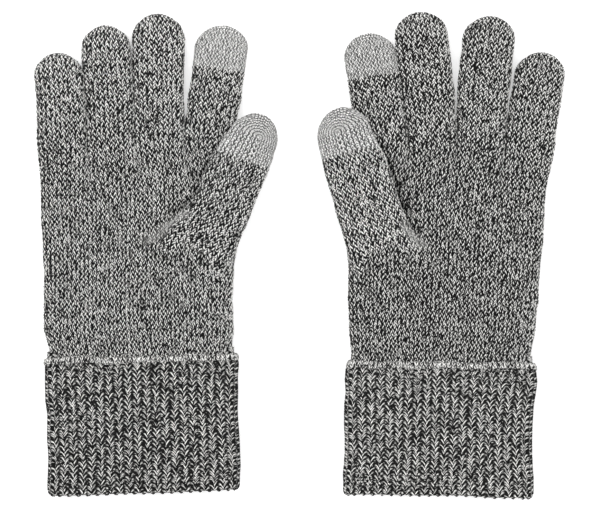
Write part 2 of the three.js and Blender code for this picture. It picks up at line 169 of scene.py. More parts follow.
# ---------------------------------------------------------------- surfaces, in millimetres
class Glove:
    def __init__(self, name, g):
        self.name, self.g, self.seed = name, g, g["seed"]
        self.rows = np.array(g["hand"])
        self.f = []
        for n in g["order"]:
            base, d, length, half, crease, knuckle, tip = g["fingers"][n]
            d = np.array(d) / math.hypot(*d)
            self.f.append(dict(name=n, base=np.array(base), d=d, n=np.array((d[1], -d[0])), length=length,
                               half=half, crease=crease, knuckle=knuckle, tip=tip))
        # points where neighbouring stalls meet, and the two outer sides of the hand
        ends = [self.f[0]["base"] - self.f[0]["n"] * self.f[0]["half"][0]]
        for a, b in zip(self.f, self.f[1:]):
            ends.append(((a["base"] + a["n"] * a["half"][0]) + (b["base"] - b["n"] * b["half"][0])) / 2 - np.array((0, 0.8)))
        ends.append(self.f[3]["base"] + self.f[3]["n"] * self.f[3]["half"][0])
        self.ends = ends
        self.wy, self.ws = g["wrist"]
        self.courses = 83
        t = g["thumb"]
        d = np.array(t["dir"]) / math.hypot(*t["dir"])
        self.t = dict(t, base=np.array(t["base"]), d=d, n=np.array((d[1], -d[0])), rows=np.array(t["rows"]))

    # where finger k starts, for u from -1 to 1 across it
    def start_line(self, k, u):
        a, c, b = self.ends[k], self.f[k]["base"], self.ends[k + 1]
        wa, wc, wb = u * (u - 1) / 2, 1 - u * u, u * (u + 1) / 2
        return (a[0] * wa + c[0] * wc + b[0] * wb, a[1] * wa + c[1] * wc + b[1] * wb)

    def soft(self, x, y, amount):
        """Slow waves of loosely lying cloth."""
        s = self.seed
        return amount * (0.55 * noise(x / 19.0, y / 23.0, s) + 0.30 * noise(x / 8.0 + 3, y / 10.0, s + 1)
                         + 0.16 * noise(x / 3.6, y / 4.2 + 5, s + 2))

    def finger(self, k, u, top, s):
        f = self.f[k]
        length, r = f["length"], TIP_R
        s0 = length - r
        v = np.clip((s - s0) / r, 0.0, 1.0)
        v = 1.0 - np.power(1.0 - v, 1.12)
        ss = np.minimum(s, s0)
        half = np.interp(ss, [0, length * 0.5, s0], f["half"])
        half = half + 0.35 * noise(ss / 9.0, np.full_like(ss, k * 3.7), self.seed + 5) * smooth(ss / 6.0)
        along = ss + r * v * np.sqrt(1 - u * u / 2)
        lat = half * u * np.sqrt(1 - v * v / 2) + f["tip"] * v
        sway = 0.5 * np.sin(ss / length * 3.0 + k * 1.9) * smooth(ss / 15.0)
        x = f["base"][0] + f["d"][0] * along + f["n"][0] * (lat + sway)
        y = f["base"][1] + f["d"][1] * along + f["n"][1] * (lat + sway)
        px, py = self.start_line(k, u)
        w = 1 - smooth(s / 14.0)
        h0 = f["half"][0]
        x = x + (px - (f["base"][0] + f["n"][0] * h0 * u)) * w
        y = y + (py - (f["base"][1] + f["n"][1] * h0 * u)) * w
        kz = np.power(np.maximum(1 - np.power(v, 2.4), 0), 0.5)
        p = prof(half * (1 - np.abs(u)), half)
        zc = HAND_T / 2 - 1.3 * smooth(v) - 0.3 * smooth(s / 20)
        b = np.where(top, HAND_T / 2, zc)
        pz = np.where(top, p, np.power(p, 0.75))
        z = zc + np.where(top, 1, -1) * b * pz * kz
        return x, y, z

    def palm(self, t, top, c):
        """The hand between wrist (c = 0) and finger mouths (c = courses); t runs 0..1 across."""
        v = c / self.courses
        k = np.minimum((4 * t).astype(int), 3)
        uf = umap(FINGER_MAP, 4 * t - k)
        px, py = np.zeros_like(t), np.zeros_like(t)
        for i in range(4):
            a, b = self.start_line(i, uf)
            px, py = np.where(k == i, a, px), np.where(k == i, b, py)
        rows = self.rows
        xc = (rows[0][1] + rows[0][2]) / 2
        uw = umap(WIDE_MAP, t)
        yw = self.wy + self.ws * (uw * 48.0)
        y = yw + (py - yw) * v
        xl, xr = np.interp(y, rows[:, 0], rows[:, 1]), np.interp(y, rows[:, 0], rows[:, 2])
        wide = (xl + xr) / 2 + (xr - xl) / 2 * uw
        lean = np.interp(t, [0, 0.125, 0.375, 0.625, 0.875, 1],
                         [self.f[0]["d"][0]] + [f["d"][0] for f in self.f] + [self.f[3]["d"][0]])
        edge = smooth((t if self.name == "left" else 1 - t) / 0.05)      # the index side stands straight
        dist = np.maximum(py - y, 0.0)
        lobed = px + (y - py) * lean * edge
        x = lerp(wide, lobed, 1 - smooth(dist / 32.0))
        pw = prof((xr - xl) / 2 * (1 - np.abs(uw)), 9.0)
        pl = prof(13.2 * (1 - np.abs(uf)), 13.2)
        p = lerp(pw, pl, np.power(1 - smooth(dist / 17.0), 1.4))
        wr = 1 - smooth((y - (self.wy + 2)) / 9.0)
        zc = HAND_T / 2 + 1.6 * wr
        b = np.where(top, HAND_T / 2, zc) - 0.5 * wr
        b = np.where(top, b, zc - 2.1 * wr)
        z = zc + np.where(top, 1, -1) * b * np.where(top, p, np.power(p, 0.75))
        # the cloth rises into the thumb
        s, w = self.thumb_coords(x, y)
        zt, zb, l, r = self.thumb_section(s)
        om = np.abs(w - (r + l) / 2) / ((r - l) / 2)
        rise = np.maximum(zt - 9.7 + 0.7 * (1 - smooth((s + 7) / 6.0)), 0) * (1 - smooth((s + 3) / 13.0)) * smooth((s + 30) / 10.0)
        mound = rise * (1 - smooth((om - 0.35) / 0.85)) * p
        # it dips in beside the thumb, and puckers where the thumb's stitches were picked up
        inner = w - l if self.name == "right" else r - w
        dip = 2.0 * np.exp(-(inner / 2.6) ** 2) * smooth((s - 4) / 10.0) * (1 - smooth((s - 46) / 8.0))
        z = np.where(top, z + mound - dip + self.pucker(x, y), z)
        return x, y, z

    def pucker(self, x, y, only=0.0):
        """Height of the creases at the thumb's root; only=1 gives the part that stands up, from 0 to 1."""
        total = np.zeros_like(x)
        for (x0, y0), (x1, y1), wide, high in self.g["puckers"]:
            ux, uy = x1 - x0, y1 - y0
            size = math.hypot(ux, uy)
            run = ((x - x0) * ux + (y - y0) * uy) / size
            off = ((x - x0) * -uy + (y - y0) * ux) / size + 0.8 * np.sin(run / 4.0)
            here = np.exp(-(off / wide) ** 2) * smooth((run + 2) / 5.0) * (1 - smooth((run - size + 3) / 5.0))
            total = total + (here * (high > 0) if only else here * high)
        return total

    def thumb_coords(self, x, y):
        t = self.t
        dx, dy = x - t["base"][0], y - t["base"][1]
        return dx * t["d"][0] + dy * t["d"][1], dx * t["n"][0] + dy * t["n"][1]

    def thumb_section(self, s):
        zt = np.interp(s, [-26, -18, -10, -3, 3, 9, 40, 76], [7.6, 9.2, 13.2, 16.6, 18.6, 19.5, 19.3, 17.8])
        zb = np.interp(s, [-26, -18, -10, -3, 3, 9, 40, 76], [2.5, 2.8, 4.2, 6.6, 8.8, 10.4, 10.4, 9.2])
        rows = self.t["rows"]
        return zt, zb, np.interp(s, rows[:, 0], rows[:, 1]), np.interp(s, rows[:, 0], rows[:, 2])

    def thumb(self, u, top, s):
        t, r = self.t, 16.0
        s0 = t["tip"] - r
        v = np.clip((s - s0) / r, 0.0, 1.0)
        ss = np.minimum(s, s0)
        zt, zb, left, right = self.thumb_section(ss + r * v)
        _, _, left, right = self.thumb_section(ss)
        mid, half = (left + right) / 2, (right - left) / 2
        along = ss + r * v * np.sqrt(1 - u * u / 2)
        lat = mid + half * u * np.sqrt(1 - v * v / 2) + 0.3 * v
        x = t["base"][0] + t["d"][0] * along + t["n"][0] * lat
        y = t["base"][1] + t["d"][1] * along + t["n"][1] * lat
        kz = np.power(np.maximum(1 - np.power(v, 2.3), 0), 0.5)
        p = prof(half * (1 - np.abs(u)), np.minimum(half, 12.5))
        zc, b = (zt + zb) / 2, (zt - zb) / 2
        z = zc + np.where(top, 1, -1) * b * np.where(top, p, np.power(p, 0.8)) * kz
        return x, y, z


# ---------------------------------------------------------------- knitted relief
def legs(X, q, amp, seed, deep=0.12, wild=0.35):
    """Height of the stitch legs, for wale coordinate X and leg coordinate q."""
    a = np.abs(2 * (X - np.floor(X)) - 1)
    f = q - np.floor(q)
    bump = np.power(np.maximum(1 - np.power(np.abs(2 * f - 1), 2.2), 0), 0.62)
    g = np.interp(a, [0, 0.34, 0.68, 1.0], [0.66, 1.0, 0.92, deep])
    i, j = np.floor(2 * X + 1e-6), np.floor(q + 1e-6)
    r = rnd(i, j, seed)
    return amp * (bump * g * (1 + wild * (r - 0.5)) + 0.22 * (rnd(i, j, seed + 9) - 0.5) * g)


def normals(P):
    """Outward normals of a grid that closes on itself sideways."""
    dc = np.roll(P, -1, axis=1) - np.roll(P, 1, axis=1)
    dr = np.gradient(P, axis=0)
    n = np.cross(dc, dr)
    return n / np.maximum(np.linalg.norm(n, axis=2, keepdims=True), 1e-9)


def tube_object(name, P, X, Q, seal=None, material=None, flip=False, own_uv=False, ridge_highlight=None):
    """A mesh from a grid of points that closes sideways. seal folds the last row shut."""
    R, C = P.shape[:2]
    idx = np.arange(R * C).reshape(R, C)
    if seal == "end":
        half = C // 2
        for c in range(half + 1, C):
            idx[R - 1, c] = idx[R - 1, (C - c) % C]
    nxt = np.roll(idx, -1, axis=1)
    quads = np.stack([idx[:-1], nxt[:-1], nxt[1:], idx[1:]], axis=2).reshape(-1, 4)
    dx = X[0, 1] - X[0, 0]
    Xn = np.roll(X, -1, axis=1) if own_uv else X + dx
    uv = np.stack([
        np.stack([X[:-1], Q[:-1]], axis=2), np.stack([Xn[:-1], np.roll(Q, -1, axis=1)[:-1]], axis=2),
        np.stack([Xn[1:], np.roll(Q, -1, axis=1)[1:]], axis=2), np.stack([X[1:], Q[1:]], axis=2)], axis=2).reshape(-1, 4, 2)
    if flip:
        quads, uv = quads[:, ::-1], uv[:, ::-1]
    return mesh_object(name, P.reshape(-1, 3), quads, uv, material, None if ridge_highlight is None else ridge_highlight.ravel())


def mesh_object(name, verts, quads, uv, material, ridge_highlight=None):
    used = np.unique(quads)
    remap = np.full(len(verts), -1, dtype=np.int64)
    remap[used] = np.arange(len(used))
    quads = remap[quads]
    verts = verts[used]
    # drop faces whose corners fall together
    s = np.sort(quads, axis=1)
    dup = (s[:, 1:] == s[:, :-1]).sum(axis=1)
    keep4 = dup == 0
    tri_src = np.where(dup == 1)[0]
    tris, tri_uv = [], []
    for k in tri_src:
        seen, ids, us = set(), [], []
        for v, w in zip(quads[k], uv[k]):
            if v not in seen:
                seen.add(v)
                ids.append(v)
                us.append(w)
        tris.append(ids)
        tri_uv.append(us)
    quads, uv4 = quads[keep4], uv[keep4]
    verts = verts.copy()
    verts[:, 2] = np.maximum(verts[:, 2], 0.02)
    me = bpy.data.meshes.new(name)
    nv, nq, nt = len(verts), len(quads), len(tris)
    me.vertices.add(nv)
    me.vertices.foreach_set("co", (verts * 0.001).astype(np.float32).ravel())
    loops = np.concatenate([quads.ravel(), np.array(tris, dtype=np.int64).ravel()]) if nt else quads.ravel()
    me.loops.add(len(loops))
    me.loops.foreach_set("vertex_index", loops.astype(np.int32))
    me.polygons.add(nq + nt)
    starts = np.concatenate([np.arange(nq) * 4, nq * 4 + np.arange(nt) * 3])
    me.polygons.foreach_set("loop_start", starts.astype(np.int32))
    me.update(calc_edges=True)
    lay = me.uv_layers.new(name="knit")
    alluv = np.concatenate([uv4.reshape(-1, 2), np.array(tri_uv).reshape(-1, 2)]) if nt else uv4.reshape(-1, 2)
    lay.data.foreach_set("uv", alluv.astype(np.float32).ravel())
    me.polygons.foreach_set("use_smooth", np.ones(nq + nt, dtype=bool))
    if ridge_highlight is not None:
        at = me.attributes.new("ridge_highlight", "FLOAT", "POINT")
        at.data.foreach_set("value", ridge_highlight[used].astype(np.float32))
    me.validate()
    me.update()
    ob = bpy.data.objects.new(name, me)
    bpy.context.scene.collection.objects.link(ob)
    if material is not None:
        me.materials.append(material)
    return ob


# ---------------------------------------------------------------- materials
class Nodes:
    def __init__(self, name):
        self.mat = bpy.data.materials.new(name)
        self.mat.use_nodes = True
        self.t = self.mat.node_tree
        self.bsdf = next(n for n in self.t.nodes if n.type == "BSDF_PRINCIPLED")

    def put(self, socket, v):
        if hasattr(v, "is_output"):
            self.t.links.new(v, socket)
        else:
            socket.default_value = v

    def math(self, op, a, b=0.0, c=0.0, clamp=False):
        n = self.t.nodes.new("ShaderNodeMath")
        n.operation = op
        n.use_clamp = clamp
        self.put(n.inputs[0], a)
        self.put(n.inputs[1], b)
        self.put(n.inputs[2], c)
        return n.outputs[0]

    def vec(self, x, y, z):
        n = self.t.nodes.new("ShaderNodeCombineXYZ")
        for s, v in zip(n.inputs, (x, y, z)):
            self.put(s, v)
        return n.outputs[0]

    def white(self, v):
        n = self.t.nodes.new("ShaderNodeTexWhiteNoise")
        n.noise_dimensions = "3D"
        self.put(n.inputs["Vector"], v)
        s = self.t.nodes.new("ShaderNodeSeparateColor")
        self.t.links.new(n.outputs["Color"], s.inputs[0])
        return s.outputs[0], s.outputs[1], s.outputs[2]

    def noise(self, v, scale, detail=2.0, rough=0.5):
        n = self.t.nodes.new("ShaderNodeTexNoise")
        n.noise_dimensions = "3D"
        self.put(n.inputs["Vector"], v)
        n.inputs["Scale"].default_value = scale
        n.inputs["Detail"].default_value = detail
        n.inputs["Roughness"].default_value = rough
        return n.outputs["Fac"] if "Fac" in n.outputs else n.outputs[0]

    def ramp(self, v, lo, hi):
        n = self.t.nodes.new("ShaderNodeMapRange")
        n.interpolation_type = "SMOOTHSTEP"
        self.put(n.inputs["Value"], v)
        self.put(n.inputs["From Min"], lo)
        self.put(n.inputs["From Max"], hi)
        return n.outputs["Result"]

    def mix(self, f, a, b):
        n = self.t.nodes.new("ShaderNodeMix")
        n.data_type = "RGBA"
        self.put(n.inputs["Factor"], f)
        self.put(n.inputs["A"], a)
        self.put(n.inputs["B"], b)
        return n.outputs["Result"]


def knit_material(name, light, dark, plies=1.0, twist=0.9, share=0.5, spread=0.5, soft=0.16, cluster=0.12,
                  blob=0.2, gap=0.5, rim=0.3, rim_from=0.62, hole=0.0, own=0.3, turn=0.5, course=0.35, free=1.0, drift=0.5, vary=0.2, paint_ridge_highlight=False, seed=0.0,
                  bump=0.35, sheen=0.15, fuzz=0.3):
    """Plied marl yarn: a light and a dark strand run along each stitch leg and twist round each other."""
    n = Nodes(name)
    uvn = n.t.nodes.new("ShaderNodeUVMap")
    uvn.uv_map = "knit"
    sep = n.t.nodes.new("ShaderNodeSeparateXYZ")
    n.t.links.new(uvn.outputs[0], sep.inputs[0])
    X, q = sep.outputs[0], sep.outputs[1]
    i = n.math("FLOOR", n.math("MULTIPLY", X, 2.0))
    j = n.math("FLOOR", q)
    f = n.math("FRACT", q)
    a = n.math("ABSOLUTE", n.math("SUBTRACT", n.math("MULTIPLY", n.math("FRACT", X), 2.0), 1.0))
    # both legs of a stitch are one piece of yarn, so they share most of its colour
    s1, s2, s3 = n.white(n.vec(n.math("FLOOR", X), j, seed))
    l1, l2, l3 = n.white(n.vec(i, j, seed + 2.0))
    r1 = n.math("ADD", n.math("MULTIPLY", s1, (1 - own) * free), n.math("MULTIPLY", l1, own * free))
    # the yarn turns about half way round between one leg and the next, so light and dark alternate
    r1 = n.math("ADD", r1, n.math("MULTIPLY", n.math("FRACT", n.math("MULTIPLY", i, 0.5)), 2 * turn))
    r1 = n.math("ADD", r1, n.math("MULTIPLY", n.math("FRACT", n.math("MULTIPLY", j, 0.5)), 2 * course))
    r2 = n.math("ADD", n.math("MULTIPLY", s2, 1 - own), n.math("MULTIPLY", l2, own))
    r3 = n.math("ADD", n.math("MULTIPLY", s3, 1 - own), n.math("MULTIPLY", l3, own))
    # slow drift of the twist along a course keeps neighbouring stitches related
    slow = n.noise(n.vec(n.math("MULTIPLY", X, 0.31), n.math("MULTIPLY", q, 0.3), seed + 3.0), 1.0, 1.0)
    phase = n.math("ADD", n.math("MULTIPLY", f, plies), n.math("MULTIPLY", a, twist))
    phase = n.math("ADD", phase, n.math("ADD", r1, n.math("MULTIPLY", slow, drift)))
    wave = n.math("MULTIPLY_ADD", n.math("SINE", n.math("MULTIPLY", phase, 2 * math.pi)), 0.5, 0.5)
    patch = n.noise(n.vec(n.math("MULTIPLY", X, 0.22), n.math("MULTIPLY", q, 0.16), seed + 11.0), 1.0, 2.0)
    th = n.math("ADD", n.math("MULTIPLY", n.math("SUBTRACT", r2, 0.5), spread), 1.0 - share)
    th = n.math("ADD", th, n.math("MULTIPLY", n.math("SUBTRACT", patch, 0.5), cluster * 2))
    # a strand dips out of sight part of the way along a leg
    dip = n.math("SINE", n.math("MULTIPLY", n.math("ADD", n.math("MULTIPLY", a, 0.8), r3), 2 * math.pi))
    th = n.math("ADD", th, n.math("MULTIPLY", dip, blob))
    mask = n.ramp(wave, n.math("SUBTRACT", th, soft), n.math("ADD", th, soft))
    # fibres lie along the leg
    fib = n.noise(n.vec(n.math("MULTIPLY", f, 7.0), n.math("MULTIPLY", a, 2.2),
                        n.math("ADD", n.math("MULTIPLY", i, 3.7), n.math("MULTIPLY", j, 5.3))), 1.0, 3.0, 0.7)
    tone = n.math("MULTIPLY_ADD", fib, fuzz * 2, 1.0 - fuzz)
    tone = n.math("MULTIPLY", tone, n.math("MULTIPLY_ADD", l3, vary, 1 - vary / 2))
    # little light reaches the gaps between legs and between wales
    across = n.math("ABSOLUTE", n.math("MULTIPLY_ADD", f, 2.0, -1.0))
    tone = n.math("MULTIPLY", tone, n.math("MULTIPLY_ADD", n.ramp(across, 0.45, 1.0), -gap, 1.0))
    tone = n.math("MULTIPLY", tone, n.math("MULTIPLY_ADD", n.ramp(a, rim_from, 1.0), -rim, 1.0))
    # painted shade in the holes between stitches
    if hole:
        pit = n.math("MULTIPLY", n.ramp(across, 0.0, 0.7), n.ramp(a, 0.3, 0.8))
        pit = n.math("MULTIPLY", pit, n.math("MULTIPLY_ADD", l2, 1.2, 0.2))
        tone = n.math("MULTIPLY", tone, n.math("MULTIPLY_ADD", pit, -hole, 1.0, clamp=True))
    mask = n.math("ADD", n.math("MULTIPLY", mask, 0.94), n.math("MULTIPLY", n.ramp(fib, 0.6, 0.85), 0.08), clamp=True)
    # painted highlight: where the crease ridges stand up, the plies are pulled towards a paler mid tone
    if paint_ridge_highlight:
        at = n.t.nodes.new("ShaderNodeAttribute")
        at.attribute_name = "ridge_highlight"
        k = n.math("MULTIPLY", at.outputs["Fac"], n.math("MULTIPLY_ADD", s2, 0.5, 0.3))
        mask = n.math("MULTIPLY_ADD", n.math("SUBTRACT", 0.58, mask), k, mask)
    col = n.mix(mask, (*dark, 1), (*light, 1))
    vm = n.t.nodes.new("ShaderNodeVectorMath")
    vm.operation = "SCALE"
    n.t.links.new(col, vm.inputs[0])
    n.put(vm.inputs["Scale"], tone)
    n.t.links.new(vm.outputs[0], n.bsdf.inputs["Base Color"])
    n.put(n.bsdf.inputs["Roughness"], n.math("MULTIPLY_ADD", fib, 0.2, 0.78))
    n.bsdf.inputs["Specular IOR Level"].default_value = 0.2
    n.bsdf.inputs["Sheen Weight"].default_value = sheen
    n.bsdf.inputs["Sheen Roughness"].default_value = 0.5
    b = n.t.nodes.new("ShaderNodeBump")
    b.inputs["Strength"].default_value = bump
    b.inputs["Distance"].default_value = 0.00025
    n.t.links.new(n.math("ADD", n.math("MULTIPLY", fib, 0.7), n.math("MULTIPLY", wave, 0.5)), b.inputs["Height"])
    n.t.links.new(b.outputs[0], n.bsdf.inputs["Normal"])
    return n.mat


LIGHT = (0.97, 0.965, 0.94)
DARK = (0.003, 0.003, 0.0029)
MARL = {    # two cones of yarn, and a stretch of each, so the light ply shows a little more or less
    (side, part): knit_material(f"marl_knit_{side}_{part}", LIGHT, DARK, plies=0.46, twist=0.23, share=share,
                                spread=0.23, soft=0.03, cluster=0.07, blob=0.31, gap=0.98, rim=0.9, rim_from=0.8,
                                own=0.77, turn=0.484, course=0.35, free=0.54, drift=0.58, vary=0.3, paint_ridge_highlight=True,
                                fuzz=0.12, seed=seed)
    for side, part, share, seed in (("right", "hand", 0.326, 1.0), ("right", "finger", 0.357, 1.0),
                                    ("right", "thumb", 0.312, 1.0), ("left", "hand", 0.27, 2.0),
                                    ("left", "finger", 0.324, 2.0), ("left", "thumb", 0.38, 2.0))}
RIB = {
    side: knit_material(f"marl_rib_{side}", LIGHT, DARK, plies=0.60, twist=0.2, share=share, spread=0.3, soft=0.03,
                        cluster=0.0, blob=0.3, gap=0.98, rim=0.76, rim_from=0.52, own=0.85, turn=0.42, course=0.43,
                        free=0.58, drift=0.35, vary=0.5, fuzz=0.14, seed=5.0)
    for side, share in (("right", 0.303), ("left", 0.335))}
HEM = knit_material("marl_hem_yarn", LIGHT, DARK, plies=0.8, twist=0.5, share=0.42, spread=0.9, soft=0.15, gap=0.75,
                    cluster=0.05, blob=0.4, rim=0.4, fuzz=0.25, seed=7.0)
# The touch yarn is light grey all through: its near-black second colour is painted shade, dark dots where the gaps
# between its stitches lie.
TOUCH = {
    (side, which): knit_material(f"touch_yarn_{side}_{which}", (0.97, 0.965, 0.95), (0.085, 0.085, 0.083), plies=0.46,
                                 twist=0.23, share=share, spread=0.23, soft=0.08, cluster=0.0, blob=0.31, gap=0.9,
                                 rim=rim, rim_from=0.5, own=0.77, turn=0.484, course=0.4, free=0.5, drift=0.4,
                                 fuzz=0.12, seed=9.0, bump=0.25)
    for side, which, share, rim in (("right", "index", 0.61, 0.4), ("right", "thumb", 0.70, 0.85),
                                    ("left", "index", 0.55, 0.4), ("left", "thumb", 0.70, 0.85))}


def hand_columns():
    n = 8 * WALES * CW
    k = np.arange(n)
    top = k < n // 2
    t = np.where(top, k / (n / 2), 2 - k / (n / 2))
    return k / CW, t, top


def stall_columns(wales, cw):
    n = 2 * wales * cw
    k = np.arange(n)
    top = k < n // 2
    t = np.where(top, k / (n / 2), 2 - k / (n / 2))
    return k / cw, t, top


def rows_between(q0, q1, per):
    return np.linspace(q0, q1, max(2, int(round((q1 - q0) * per)) + 1))


def rest(z, top):
    """The underside lies on its stitches, so its cloth stands a little off the surface below."""
    return np.where(top, z, z + 0.55 * np.maximum(1 - z / 4.0, 0))


def jitter(g, P, amount=0.22):
    """Stitches are never quite even."""
    x, y = P[..., 0].copy(), P[..., 1].copy()
    P[..., 0] += amount * noise(x / 4.3, y / 5.1 + 9, g.seed + 21)
    P[..., 1] += amount * noise(x / 4.7 + 4, y / 4.4, g.seed + 22)
    return P


def build_hand(g):
    X, t, top = hand_columns()
    q = rows_between(0, g.courses, CR)
    XX, QQ = np.meshgrid(X, q)
    T, TOP = np.broadcast_to(t, XX.shape), np.broadcast_to(top, XX.shape)
    a = np.abs(2 * (XX - np.floor(XX)) - 1)
    c = QQ - SLOPE * a
    x, y, z = g.palm(T, TOP, c)
    z = rest(z, TOP) + np.where(TOP, 1.0, 0.25) * g.soft(x, y, 0.75) * smooth((z - 3.0) / 5.0)
    P = jitter(g, np.stack([x, y, z], axis=2))
    # painted highlight on the raised crease ridges, handed to the material as a vertex attribute
    ridge_highlight = g.pucker(x, y, 1.0) * TOP
    P += normals(P) * legs(XX, QQ, 0.62, g.seed)[..., None]
    return tube_object(f"{g.name}_knit_hand", P, XX, QQ, material=MARL[g.name, "hand"], ridge_highlight=ridge_highlight)


def finger_base(g, k, tl, top, s):
    """Points of stall k, reaching back into the hand where s is negative."""
    x1, y1, z1 = g.finger(k, umap(FINGER_MAP, tl), top, np.maximum(s, 0))
    x0, y0, z0 = g.palm((k + tl) / 4, top, g.courses + np.minimum(s, 0) / COURSE)
    back = s < 0
    return np.where(back, x0, x1), np.where(back, y0, y1), np.where(back, z0, z1)


def build_finger(g, k, s_from, s_to, name, closed=False):
    f = g.f[k]
    X, t, top = stall_columns(WALES, CW)
    q0, q1 = s_from / COURSE, s_to / COURSE
    q = rows_between(q0, q1, CR)
    XX, QQ = np.meshgrid(X, q)
    T, TOP = np.broadcast_to(t, XX.shape), np.broadcast_to(top, XX.shape)
    a = np.abs(2 * (XX - np.floor(XX)) - 1)
    fade = smooth((q1 - QQ) / 3.0) if closed else 1.0
    c = QQ - SLOPE * a * fade
    # a finger's wales run on from the hand's, palm side and back
    hx = np.where(XX < WALES, k * WALES + XX, 8 * WALES - (k * WALES + (2 * WALES - XX)))
    s = c * COURSE
    x, y, z = finger_base(g, k, T, TOP, s)
    z = rest(z, TOP) + np.where(TOP, 1.0, 0.25) * g.soft(x, y, 0.75) * smooth((z - 3.0) / 5.0)
    P = jitter(g, np.stack([x, y, z], axis=2))
    N = normals(P)
    h = legs(hx, QQ + g.courses, 0.62, g.seed)
    if closed:
        h = h * (0.35 + 0.65 * smooth((q1 - QQ) / 2.0))
        h[-1] = 0.25
        N[-1] = 0.0
        N[-1, :, 0], N[-1, :, 1] = f["d"][0], f["d"][1]
    P += N * h[..., None]
    return tube_object(name, P, hx, QQ + g.courses, seal="end" if closed else None, material=MARL[g.name, "finger"])


def build_cap(g, which, s_from, s_to, name, tilt=0.0, lean=0.0):
    """Touch tip: finer yarn, its first course tucked under the marl."""
    cw = 4
    X, t, top = stall_columns(CAP_WALES, cw)
    q0, q1 = s_from / CAP_COURSE, s_to / CAP_COURSE
    q = rows_between(q0, q1, CR)
    XX, QQ = np.meshgrid(X, q)
    T, TOP = np.broadcast_to(t, XX.shape), np.broadcast_to(top, XX.shape)
    a = np.abs(2 * (XX - np.floor(XX)) - 1)
    fade = smooth((q1 - QQ) / 3.0)
    c = QQ - 1.0 * a * fade
    s = c * CAP_COURSE
    u = umap(FINGER_MAP, T)
    s = s + tilt * u * (1 - smooth((QQ - q0) / 6.0))
    if which == "thumb":
        x, y, z = g.thumb(u, TOP, s)
        d = g.t["d"]
    else:
        x, y, z = g.finger(which, u, TOP, s)
        d = g.f[which]["d"]
    z = rest(z, TOP) + np.where(TOP, 1.0, 0.25) * g.soft(x, y, 0.5) * smooth((z - 3.0) / 5.0)
    P = jitter(g, np.stack([x, y, z], axis=2), 0.15)
    N = normals(P)
    # a thumb tip's wales run up one side, round the closed end and down the other
    cross = 2 * T - 1 - lean
    cross = np.where(cross > 0, cross / (1 - lean), -cross / (1 + lean))
    focus = s_to - 11.5
    w = np.maximum(s - focus, 0) / 11.5
    ring = CAP_WALES / 2 * np.hypot(cross, w) + np.where(TOP, 0, 40)
    arc = (np.minimum(s, focus) + 12.0 * np.arctan2(w, cross + 1e-6)) / CAP_COURSE
    QR = arc + 1.0 * np.abs(2 * (ring - np.floor(ring)) - 1) * fade
    if which != "thumb":
        ring, QR = XX, QQ
    h = legs(ring, QR, 0.38, g.seed + 3, deep=0.6, wild=0.3) - 0.25 * (1 - smooth((QQ - q0) / 1.5))
    h = h * (0.35 + 0.65 * smooth((q1 - QQ) / 2.0))
    h[-1] = 0.15
    N[-1] = 0.0
    N[-1, :, 0], N[-1, :, 1] = d[0], d[1]
    P += N * h[..., None]
    return tube_object(name, P, ring, QR, seal="end", material=TOUCH[g.name, "thumb" if which == "thumb" else "index"], own_uv=which == "thumb")


def build_thumb(g, s_from, s_to, name, tilt_end=0.0):
    wales = WALES + 3
    X, t, top = stall_columns(wales, CW)
    q0, q1 = s_from / COURSE, s_to / COURSE
    q = rows_between(q0, q1, CR)
    XX, QQ = np.meshgrid(X, q)
    T, TOP = np.broadcast_to(t, XX.shape), np.broadcast_to(top, XX.shape)
    a = np.abs(2 * (XX - np.floor(XX)) - 1)
    s = (QQ - SLOPE * a) * COURSE
    u = umap(FINGER_MAP, T)
    if tilt_end:
        s = s + tilt_end * u * smooth(1 - (q1 - QQ) / 6.0)
    x, y, z = g.thumb(u, TOP, s)
    z = z + np.where(TOP, 1.0, 0.25) * g.soft(x, y, 0.7) + TOP * g.pucker(x, y) * 0.6
    # painted highlight on the raised crease ridges, handed to the material as a vertex attribute
    ridge_highlight = g.pucker(x, y, 1.0) * TOP
    P = jitter(g, np.stack([x, y, z], axis=2))
    P += normals(P) * legs(XX, QQ, 0.62, g.seed + 7)[..., None]
    return tube_object(name, P, XX + 200, QQ + 100, material=MARL[g.name, "thumb"], ridge_highlight=ridge_highlight)


# ---------------------------------------------------------------- ribbed wrist and cuff
RIBS = 22                      # ribs on one face of the cuff
RIB_COURSE = 1.42
RIB_SLOPE = 1.45
RIB_V = 0.62                   # share of a rib's width that its stitches' legs take


def rib_loop(half, z0, z1, cols):
    """A flat tube's section: offsets across and heights, evenly spaced along it, with its outward normals."""
    r = (z1 - z0) / 2
    flat = 2 * (half - r)
    total = 2 * flat + 2 * math.pi * r
    k = np.arange(cols) / cols * total
    # starts at the left side's middle, runs over the top to the right, and back underneath
    q = math.pi * r / 2
    u, z = np.zeros(cols), np.zeros(cols)
    nu, nz = np.zeros(cols), np.zeros(cols)
    for i, d in enumerate(k):
        if d < q:
            ang = math.pi - d / r
            u[i], z[i], nu[i], nz[i] = -half + r + r * math.cos(ang), r * math.sin(ang), math.cos(ang), math.sin(ang)
        elif d < q + flat:
            u[i], z[i], nu[i], nz[i] = -half + r + (d - q), r, 0, 1
        elif d < 3 * q + flat:
            ang = math.pi / 2 - (d - q - flat) / r
            u[i], z[i], nu[i], nz[i] = half - r + r * math.cos(ang), r * math.sin(ang), math.cos(ang), math.sin(ang)
        elif d < 3 * q + 2 * flat:
            u[i], z[i], nu[i], nz[i] = half - r - (d - 3 * q - flat), -r, 0, -1
        else:
            ang = -math.pi / 2 - (d - 3 * q - 2 * flat) / r
            u[i], z[i], nu[i], nz[i] = -half + r + r * math.cos(ang), r * math.sin(ang), math.cos(ang), math.sin(ang)
    return u, z + (z0 + z1) / 2, nu, nz


